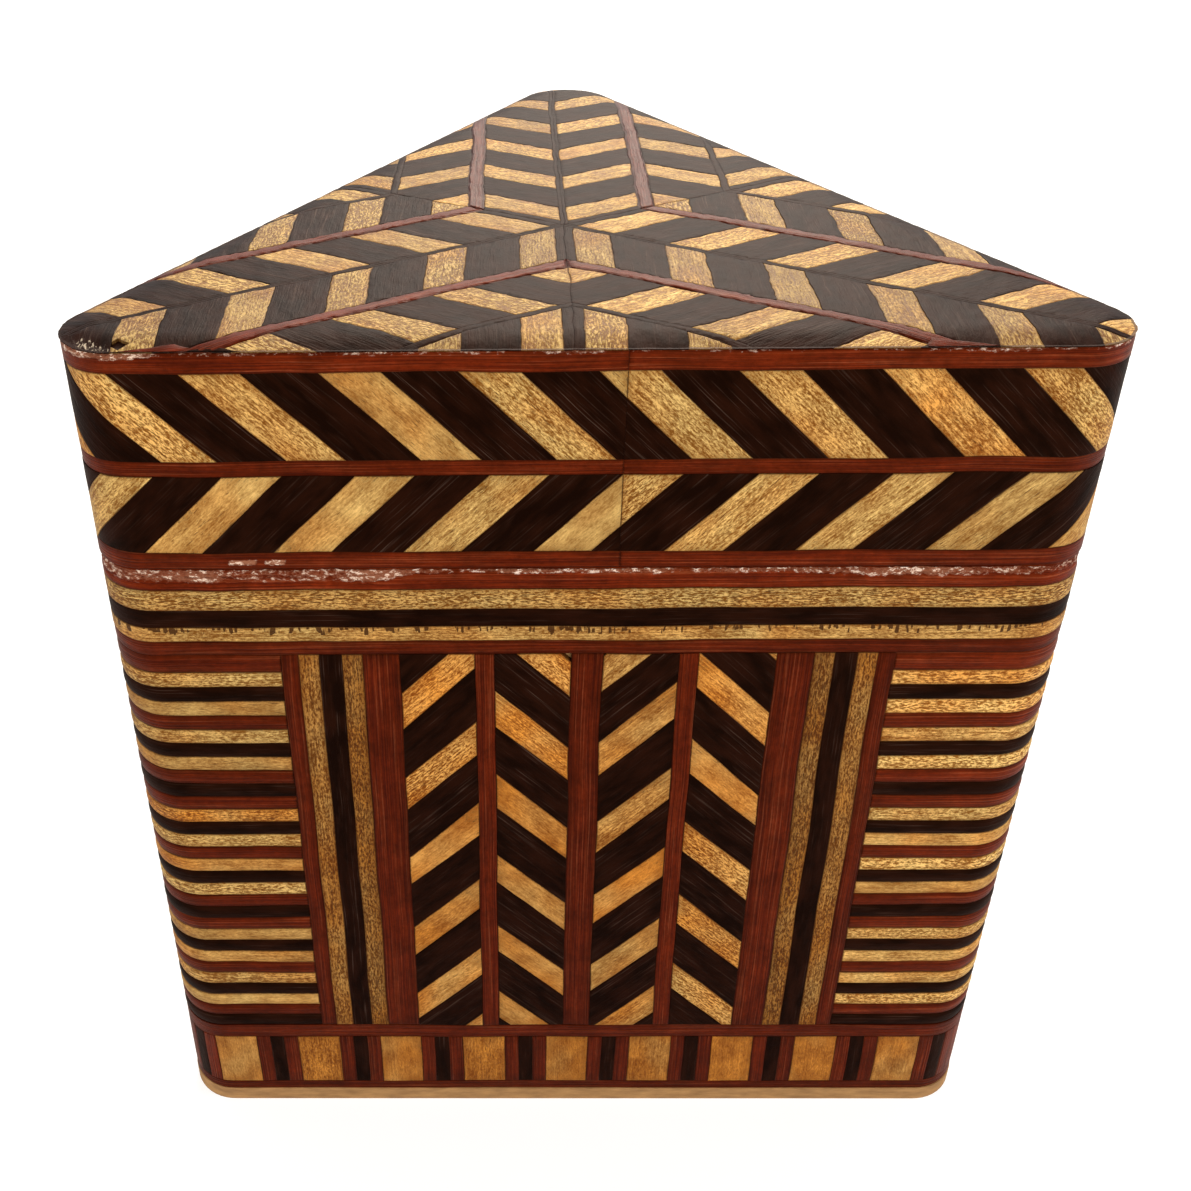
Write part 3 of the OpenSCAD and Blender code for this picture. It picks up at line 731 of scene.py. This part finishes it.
def rimWearAndCreaseShade(x, y):
    s = alongSide(x)
    fade = 0.8 + 0.2 * smooth((sideRun / 2 - abs(s)) / 16)
    patchy = 0.22 * noise.noise(wallPoint(x, rimTop, 0) / 3)
    # at the very top, under the lid, the values go negative: painted shade where the rim meets the lid; below that the
    # rim is worn
    creaseShade = smooth((y - rimTop + rim["creaseShadeHeight"]) / 0.15)
    down = smooth((y - rimTop + wornHeight(s) + 0.6 * patchy) / (0.45 * wornHeight(s)))
    return (0.66 + patchy) * fade * down * (1 - creaseShade) - creaseShade


bodyRing("rimBand", "rim_band", red, "red_veneer", shape=rimShape, bare=rimWearAndCreaseShade, step=(0.4, 0.18), shade=1.2)
bodyRing("wideMapleBand", "wide_maple_band", maple, "maple_veneer", pores=1.0, tone=0.25, speckle=1.0, shade=0.81)
bodyRing("blackBand", "black_band", black, "black_veneer", eased=0.25)
narrowTop = levelsOf("narrow_maple_band")[1]


def tickMarks(x, y):
    here = wallPoint(x, narrowTop, 0)
    reach = 0.75 + 0.9 * noise.noise(here / 1.1)
    return 0.48 * smooth((y - narrowTop + reach) / 0.2) + 0.09 * noise.noise(here / 4)


bodyRing("narrowMapleBand", "narrow_maple_band", maple, "maple_veneer", pores=0.3, tone=0.3, speckle=0.3,
         shade=0.84, bare=tickMarks, step=(0.5, 0.25))
bodyRing("headerBand", "header_band", red, "red_veneer", eased=0.3, rows=(levelsOf("header_band")[0] + 1.0,))
bodyRing("baseLine", "base_line", red, "red_veneer")
bodyRing("footLine", "foot_line", red, "red_veneer")
print("body bands laid")

panel = {
    "centreBar": 3.4,
    "column": 8.15,
    "divider": 2.1,
    "wideBar": 4.0,
    "stileMaple": 2.2,
    "stileBlack": 2.4,
    "stileRed": 1.9,
    "chevronPitch": 12.0,
    "chevronMaple": 4.9,
    "drop": (5.3, 4.9, 0.0, -0.2),  # top of each column's first maple piece, at its left edge
    "rise": (1, -1, 1, -1),
}
panelTop = levelsOf("header_band")[0]
panelFoot = levelsOf("base_line")[1]


def uprights(x, width, both=True, **extra):
    pieces = []
    for side in range(3):
        for start in ((x, -x - width) if both else (x,)):
            at = side * sideRun + start
            outline = rectangle(at + halfLine, at + width - halfLine, panelFoot + halfLine, panelTop - halfLine)
            pieces.append(wallPiece(outline, 90, **extra))
    return pieces


def cutAt(side, column, line, end):  # how far the cut lies from its place
    return stray(Vector((side * 7.3 + column * 3.1, line * 1.7, end * 2.3)), (0.45, 1, 41))


def chevronPieces(offset, height, pores):
    left = panel["centreBar"] / 2
    outer = left + panel["column"] + panel["divider"]
    starts = (-outer - panel["column"], -left - panel["column"], left, outer)
    pieces = []
    for side in range(3):
        for column, start in enumerate(starts):
            x0, x1 = side * sideRun + start + halfLine, side * sideRun + start + panel["column"] - halfLine
            rise = panel["rise"][column] * panel["column"]
            for i in range(-1, math.ceil((panelTop - panelFoot) / panel["chevronPitch"]) + 1):
                top = panelTop - panel["drop"][column] - offset - i * panel["chevronPitch"]
                low = top - height + box["seenLine"]
                line = 2 * i + (1 if offset else 0)
                lowLeft, lowRight, topLeft, topRight = (
                    cutAt(side, column, k, end) for k in (line + 1, line) for end in (0, 1))
                outline = [(x0, low + lowLeft), (x1, low + rise + lowRight),
                           (x1, top + rise + topRight), (x0, top + topLeft)]
                outline = clip(clip(outline, 0, 1, panelTop - halfLine), 0, -1, -panelFoot - halfLine)
                if len(outline) > 2:
                    look = {"tone": dice.uniform(0.45, 0.85), "speckle": 0.8 * dice.random() ** 2}
                    pieces.append(wallPiece(outline, 45 * panel["rise"][column], pores, **look))
    return pieces


dividerAt = panel["centreBar"] / 2 + panel["column"]
wideBarAt = dividerAt + panel["divider"] + panel["column"]
innerMapleAt = wideBarAt + panel["wideBar"]
stileBlackAt = innerMapleAt + panel["stileMaple"]
outerMapleAt = stileBlackAt + panel["stileBlack"]
stileRedAt = outerMapleAt + panel["stileMaple"]
panelEdge = stileRedAt + panel["stileRed"]
bars = {"eased": 0.28, "shade": 0.86}
onWall("centreBars", uprights(-panel["centreBar"] / 2, panel["centreBar"], both=False, **bars),
       red, "box", "red_veneer", "centre_bars")
onWall("dividerBars", uprights(dividerAt, panel["divider"], **bars), red, "box", "red_veneer", "divider_bars")
onWall("wideBars", uprights(wideBarAt, panel["wideBar"], **bars), red, "box", "red_veneer", "wide_bars")
stiles = uprights(innerMapleAt, panel["stileMaple"], pores=0.9, speckle=0.8, tone=0.9, shade=0.46)
stiles += uprights(outerMapleAt, panel["stileMaple"], pores=0.8, speckle=0.7, tone=0.8, shade=0.55)
onWall("borderMapleStrips", stiles, maple, "box", "maple_veneer", "border_maple_strips")
onWall("borderBlackStrips", uprights(stileBlackAt, panel["stileBlack"]),
       black, "box", "black_veneer", "border_black_strips")
onWall("borderRedStrips", uprights(stileRedAt, panel["stileRed"], **bars),
       red, "box", "red_veneer", "border_red_strips")
maplePieces = chevronPieces(0, panel["chevronMaple"], 0.22)
blackPieces = chevronPieces(panel["chevronMaple"], panel["chevronPitch"] - panel["chevronMaple"], 0.5)
onWall("chevronMaple", maplePieces, maple, "box", "maple_veneer", "chevron_maple_pieces")
onWall("chevronBlack", blackPieces, black, "box", "black_veneer", "chevron_black_pieces")
print("panels laid")

cornerStrips = {
    "pitch": 1.965,
    "ease": 0.14,
    "order": ("maple", "black", "maple", "red", "maple", "black", "maple", "red", "black", "red"),
    "shades": (1.1, 1.0, 0.86),  # of the right, the back and the left corner
    "toneShares": (0.5, 0.5, 0.9),  # they are less orange than the panels
}
stripCount = math.floor((panelTop - panelFoot) / cornerStrips["pitch"] - 1)


def cornerPieces(wood):
    pieces = []
    spans = []
    for i in range(stripCount):
        if cornerStrips["order"][i % len(cornerStrips["order"])] == wood:
            low = panelFoot + (stripCount - 1 - i) * cornerStrips["pitch"]
            spans.append((low, low + cornerStrips["pitch"]))
    if wood == "red":
        spans.append((panelFoot + stripCount * cornerStrips["pitch"], panelTop))
    for side in range(3):
        for low, high in spans:
            x0, x1 = side * sideRun + panelEdge + halfLine, (side + 1) * sideRun - panelEdge - halfLine
            outline = rectangle(x0, x1, low + halfLine, high - halfLine)
            middle, half = (low + high) / 2, (high - low) / 2

            def crown(x, y, middle=middle, half=half):
                return -cornerStrips["ease"] * ((y - middle) / half) ** 2

            piece = wallPiece(outline, 0, 0.4, shape=crown, step=(1.6, 0.5))
            piece["shade"] *= cornerStrips["shades"][side]
            piece["tone"] *= cornerStrips["toneShares"][side]
            pieces.append(piece)
    return pieces


for wood, material in (("maple", maple), ("black", black), ("red", red)):
    onWall("corner" + wood.capitalize() + "Strips", cornerPieces(wood),
           material, "box", wood + "_veneer", "corner_" + wood + "_strips")

blocks = {"pitch": 10.8, "maple": 5.4, "shift": -1.1}
blockCount = math.floor(sideRun / blocks["pitch"])
blockGap = (blocks["pitch"] - blocks["maple"]) / 3
blockFoot, blockTop = levelsOf("block_maple_pieces")


def blockPiece(x, width, pores=0.5, **extra):
    outline = rectangle(x - width / 2 + halfLine, x + width / 2 - halfLine, blockFoot + halfLine, blockTop - halfLine)
    return wallPiece(outline, 90, pores, **extra)


mapleBlocks, blackBlocks, redBlocks = [], [], []
for side in range(3):
    at = side * sideRun + blocks["shift"]
    last = ((blockCount - 1) * blocks["pitch"] + blocks["maple"]) / 2
    for i in range(blockCount):
        x = at + (i - (blockCount - 1) / 2) * blocks["pitch"]
        look = {"tone": dice.uniform(0.7, 1.3), "speckle": 0.25 * dice.random() ** 2, "shade": dice.uniform(0.74, 0.86)}
        mapleBlocks.append(blockPiece(x, blocks["maple"], 0.1, **look))
    for i in range(1, blockCount):
        x = at + (i - blockCount / 2) * blocks["pitch"]
        blackBlocks.append(blockPiece(x, blockGap))
        redBlocks += [blockPiece(x - blockGap, blockGap), blockPiece(x + blockGap, blockGap)]
    for end in (-1, 1):
        redBlocks.append(blockPiece(at + end * (last + blockGap / 2), blockGap))
        blackBlocks.append(blockPiece(at + end * (last + 3 * blockGap / 2), blockGap))
    cornerGap = sideRun - 2 * last
    redBlocks.append(blockPiece(at + last + cornerGap / 2, cornerGap - 4 * blockGap))
onWall("blockMaple", mapleBlocks, maple, "box", "maple_veneer", "block_maple_pieces")
onWall("blockBlack", blackBlocks, black, "box", "black_veneer", "block_black_pieces")
onWall("blockRed", redBlocks, red, "box", "red_veneer", "block_red_pieces")
print("corner strips and blocks laid")

herringbone = {
    "string": 0.8,
    "redLine": 1.8,
    "redLineAt": 9.85,
    "outerStringAt": 19.5,
    "pitch": 9.6,
    "maple": 4.0,
    "spear": 1.0,
    "middle": (-2.1, -0.4),  # of the star, from the middle of the lid
    "topShadeAndSheen": (0.62, 0.36),  # painted shade and sheen of the top: its least shade, and the painted sheen added where the grain runs the way that looks brightest
    "sheenWay": (0.966, 0.259),
    "toneShare": 0.15,  # the top is painted less orange than the sides, standing in for the pale sheen of the light on it
    "speckle": (0.25, 0.6),  # the least, and the share of each piece's own
}
halfString, halfRed = herringbone["string"] / 2, herringbone["redLine"] / 2
redAt, outerAt = herringbone["redLineAt"], herringbone["outerStringAt"]
outlinePoints = []
for corner in cornerAngles:
    c = math.radians(corner)
    for i in range(grid["arc"] + 1):
        a = math.radians(corner - 60 + 120 * i / grid["arc"])
        outlinePoints.append((cornerAt * math.cos(c) + box["cornerRadius"] * math.cos(a),
                              cornerAt * math.sin(c) + box["cornerRadius"] * math.sin(a)))


def sidesOf(polygon):  # the outward direction of each side and how far out it lies
    sides = []
    for i, (x1, y1) in enumerate(polygon):
        x0, y0 = polygon[i - 1]
        nx, ny = y1 - y0, x0 - x1
        size = math.hypot(nx, ny)
        if size > 1e-6:
            sides.append((nx / size, ny / size, (nx * x0 + ny * y0) / size))
    return sides


def onTop(outline, grainAngle, pores, **extra):  # a piece drawn beside the corner line, repeated six times
    outline = clip(outline, 0, -1, -0.001)
    outline = clip(outline, -math.sin(math.radians(60)), math.cos(math.radians(60)), -halfLine)
    pieces = []
    if len(outline) < 3:
        return pieces
    for corner in cornerAngles:
        for flip in (1, -1):
            a = math.radians(corner)
            turned = []
            for x, y in outline:
                y *= flip
                turned.append((x * math.cos(a) - y * math.sin(a) + herringbone["middle"][0],
                               x * math.sin(a) + y * math.cos(a) + herringbone["middle"][1]))
            if areaOf(turned) < 0:
                turned = turned[::-1]
            for nx, ny, limit in sidesOf(outlinePoints):
                if len(turned) > 2:
                    turned = clip(turned, nx, ny, limit)
            if len(turned) > 2:
                piece = wallPiece(turned, corner + flip * grainAngle, pores, **extra)
                # painted light: the top's pieces are shaded darker than the sides, with a painted sheen added where the
                # grain runs the way that looks brightest
                grainSheen = sum(w * g for w, g in zip(herringbone["sheenWay"], piece["grain"]))
                piece["shade"] *= herringbone["topShadeAndSheen"][0] + herringbone["topShadeAndSheen"][1] * grainSheen ** 2
                piece["tone"] *= herringbone["toneShare"]
                piece["speckle"] = herringbone["speckle"][0] + herringbone["speckle"][1] * piece["speckle"]
                pieces.append(piece)
    return pieces


def stripe(near, far, start, width, inward):
    points = []
    for d, v in ((near, start), (far, start), (far, start + width), (near, start + width)):
        run = v + (redAt - d / 2 if inward else d / 2)
        points.append((run / math.sin(math.radians(60)), d))
    return points


def herringPieces(start, width, pores, **extra):
    inner = stripe(halfString + halfLine, redAt - halfRed - halfLine, start, width, False)
    outer = stripe(outerAt + halfString + halfLine, box["side"], start, width, False)
    between = stripe(redAt + halfRed + halfLine, outerAt - halfString - halfLine, start, width, True)
    pieces = onTop(inner, 60, pores, **extra)
    pieces += onTop(outer, 60, pores, **extra)
    return pieces + onTop(between, 120, pores, **extra)


def knockWear(x, y):
    near = smooth((knock["reach"] - math.hypot(x - knock["place"][0], y - knock["place"][1])) / 2.5)
    return 0.5 * near * smooth((2.6 - outlineDepth(x, y)) / 1.2)


def knockPits(x, y):
    return -0.9 * knockWear(x, y) * abs(noise.noise(Vector((x, y, 0)) / 0.8))


def alongCornerLine(low, high, pores, **extra):
    return onTop(rectangle(0, box["side"], low, high), 0, pores, **extra)


flush = {"lift": -0.02, "eased": 0.05, "bare": knockWear, "shape": knockPits}
topMaple, topBlack = [], herringPieces(0, herringbone["spear"] - box["seenLine"], 0.6, **flush)
for i in range(math.ceil(box["side"] / herringbone["pitch"]) + 1):
    start = herringbone["spear"] + i * herringbone["pitch"]
    topMaple += herringPieces(start, herringbone["maple"] - box["seenLine"], 0.5)
    blackWidth = herringbone["pitch"] - herringbone["maple"] - box["seenLine"]
    topBlack += herringPieces(start + herringbone["maple"], blackWidth, 0.8, **flush)
topRed = alongCornerLine(redAt - halfRed, redAt + halfRed, 0.5, lift=0.07, eased=0.4)
topStrings = alongCornerLine(0.002, halfString, 0.6, **flush)
topStrings += alongCornerLine(outerAt - halfString, outerAt + halfString, 0.6, **flush)
frontEdge = {  # of the top, in millimetres from the middle of the lid
    "hole": [(-45.9, -31.2), (-44.8, -31.9), (-43.8, -30.9), (-44.9, -30.1)],  # a chip, by the knocked corner
    "holeDepth": 0.3,
    "blackTip": [(-39.0, -32.3), (-37.6, -31.75), (-36.2, -31.6), (-34.9, -31.75), (-33.2, -32.3)],
    # the ends of the two red lines run on along the edge
    "redTip": [(-46.2, -32.3), (-39.0, -32.3), (-38.0, -31.7), (-39.6, -31.1), (-43.2, -31.8)],
    "farRedTip": [(30.6, -32.3), (30.9, -30.9), (33.5, -31.3), (36.0, -31.75), (38.4, -32.3)],
}
hole = frontEdge["hole"]
holed = []
for piece in topMaple:
    left = piece["outline"]
    if min(math.dist(corner, hole[0]) for corner in left) < 12:
        for nx, ny, limit in sidesOf(hole):
            holed.append({**piece, "outline": clip(left, -nx, -ny, -limit), "eased": 0.02})
            left = clip(left, nx, ny, limit)
    else:
        holed.append(piece)
topMaple = holed
floorOfHole = [(x + 0.1 * (x - hole[0][0] - 1.1), y + 0.1 * (y - hole[0][1] - 0.4)) for x, y in hole]
topBlack.append(wallPiece(floorOfHole, 20, 0.3, lift=-frontEdge["holeDepth"], eased=0.05))
topBlack.append(wallPiece(frontEdge["blackTip"], 5, 0.3, lift=0.06, eased=0.05))
topRed.append(wallPiece(frontEdge["redTip"], 8, 0.5, lift=0.08, eased=0.2))
topRed.append(wallPiece(frontEdge["farRedTip"], -8, 0.5, lift=0.08, eased=0.2))
for name, pieces, material, slotName, node in (
        ("topMaple", topMaple, maple, "maple_veneer", "top_maple_pieces"),
        ("topBlack", topBlack, black, "black_veneer", "top_black_pieces"),
        ("topRedLines", topRed, red, "red_veneer", "top_red_lines"),
        ("topStrings", topStrings, black, "black_veneer", "top_black_strings")):
    layPieces(name, pieces, placeOnTop, topCuts, material, "lid", (node,))
print("lid top laid")

plyBoard, footBoard, coreBoard = (boardWood(*boardLook[use]) for use in ("lining", "base", "walls"))
for name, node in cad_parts.items():
    if node.hide_render:
        continue
    material = plyBoard if name.startswith("lining") else footBoard if name.startswith("base") else coreBoard
    for i in range(max(len(node.material_slots), 1)):
        if len(node.material_slots) == 0:
            node.data.materials.append(material)
        node.material_slots[i].material = material
    soften = node.modifiers.new("eased edges", "BEVEL")
    soften.width, soften.segments, soften.limit_method = 0.3 * mm, 2, "ANGLE"
print("boards finished")

studio = {
    "world": 0.55,
    "key": 3.2,  # watts of the lamps
    "sheen": 10.5,
    "left": 1.5,
    "right": 2.7,
    "floor": "#c4c3c1",
    "floorGlow": 0.62,  # of the paper as the camera sees it
    "floorReach": 3.0,  # metres
    "aim": (0, 0, 0.06),
}
scene = bpy.context.scene
floorMesh = bpy.data.meshes.new("floor")
reach = studio["floorReach"]
floorMesh.from_pydata(
    [(-reach, -reach, 0), (reach, -reach, 0), (reach, reach, 0), (-reach, reach, 0)], [], [(0, 1, 2, 3)])
floor = bpy.data.objects.new("floor", floorMesh)
scene.collection.objects.link(floor)
# matt white paper, which shows no grain at this distance and melts into the background
floorPaper, tree = newMaterial("whitePaper")
paper = addNode(tree, "ShaderNodeBsdfDiffuse", {"Color": linear(studio["floor"])})
glow = addNode(tree, "ShaderNodeEmission", {"Color": (1, 1, 1, 1), "Strength": studio["floorGlow"]})
seen = addNode(tree, "ShaderNodeLightPath").outputs["Is Camera Ray"]
nothing = addNode(tree, "ShaderNodeEmission", {"Strength": 0.0})
lift = addNode(tree, "ShaderNodeMixShader", {0: seen, 1: nothing.outputs[0], 2: glow.outputs[0]})
both = addNode(tree, "ShaderNodeAddShader", {0: paper.outputs[0], 1: lift.outputs[0]})
addNode(tree, "ShaderNodeOutputMaterial", {0: both.outputs[0]})
floorMesh.materials.append(floorPaper)

world = bpy.data.worlds.new("studio")
scene.world = world
world.use_nodes = True
tree = world.node_tree
tree.nodes.clear()
rays = addNode(tree, "ShaderNodeLightPath").outputs
seen = addNode(tree, "ShaderNodeMath", {
    0: rays["Is Camera Ray"], 1: rays["Is Glossy Ray"]}, operation="MAXIMUM").outputs[0]
ambient = addNode(tree, "ShaderNodeBackground", {"Color": (1, 1, 1, 1), "Strength": studio["world"]})
white = addNode(tree, "ShaderNodeBackground", {"Color": (1, 1, 1, 1), "Strength": 1.0})
mixed = addNode(tree, "ShaderNodeMixShader", {0: seen, 1: ambient.outputs[0], 2: white.outputs[0]})
addNode(tree, "ShaderNodeOutputWorld", {0: mixed.outputs[0]})


def addLamp(name, place, size, power, colour=(1, 1, 1)):
    lamp = bpy.data.lights.new(name, "AREA")
    lamp.shape, lamp.size, lamp.energy, lamp.color = "DISK", size, power, colour
    holder = bpy.data.objects.new(name, lamp)
    scene.collection.objects.link(holder)
    holder.location = place
    holder.rotation_mode = "QUATERNION"
    holder.rotation_quaternion = (Vector(studio["aim"]) - Vector(place)).to_track_quat("-Z", "Y")


addLamp("softboxFront", (0.15, -0.86, 0.42), 0.4, studio["key"])
addLamp("softboxLeft", (-0.85, -0.2, 0.4), 0.4, studio["left"])
addLamp("softboxRight", (0.85, -0.2, 0.4), 0.4, studio["right"])
addLamp("softboxBehind", (0.1, 0.77, 0.69), 0.7, studio["sheen"], (1.0, 0.9, 0.77))

view = {  # the photograph's view
    "place": (-8.22, -155.69, 164.63),
    "yaw": -0.956,
    "pitch": 33.847,
    "roll": 0.793,
    "focal": 1436.9,  # pixels of a frame 1191 wide
    "axis": (490.0, 595.0),
    "frame": 1191.0,
}
lens = bpy.data.cameras.new("camera")
camera = bpy.data.objects.new("camera", lens)
scene.collection.objects.link(camera)
scene.camera = camera
lens.sensor_width = 36
lens.lens = view["focal"] / view["frame"] * lens.sensor_width
lens.shift_x = (view["frame"] / 2 - view["axis"][0]) / view["frame"]
lens.shift_y = (view["axis"][1] - view["frame"] / 2) / view["frame"]
yaw, pitch, roll = (math.radians(view[k]) for k in ("yaw", "pitch", "roll"))
ahead = Vector((math.sin(yaw) * math.cos(pitch), math.cos(yaw) * math.cos(pitch), -math.sin(pitch)))
right = Vector((math.cos(yaw), -math.sin(yaw), 0))
down = ahead.cross(right)
rightRolled = math.cos(roll) * right + math.sin(roll) * down
up = -(-math.sin(roll) * right + math.cos(roll) * down)
camera.matrix_world = Matrix((
    (rightRolled.x, up.x, -ahead.x, view["place"][0] * mm),
    (rightRolled.y, up.y, -ahead.y, view["place"][1] * mm),
    (rightRolled.z, up.z, -ahead.z, view["place"][2] * mm),
    (0, 0, 0, 1)))
lens.clip_start = 0.01
scene.view_settings.view_transform = "Standard"
print("studio set")
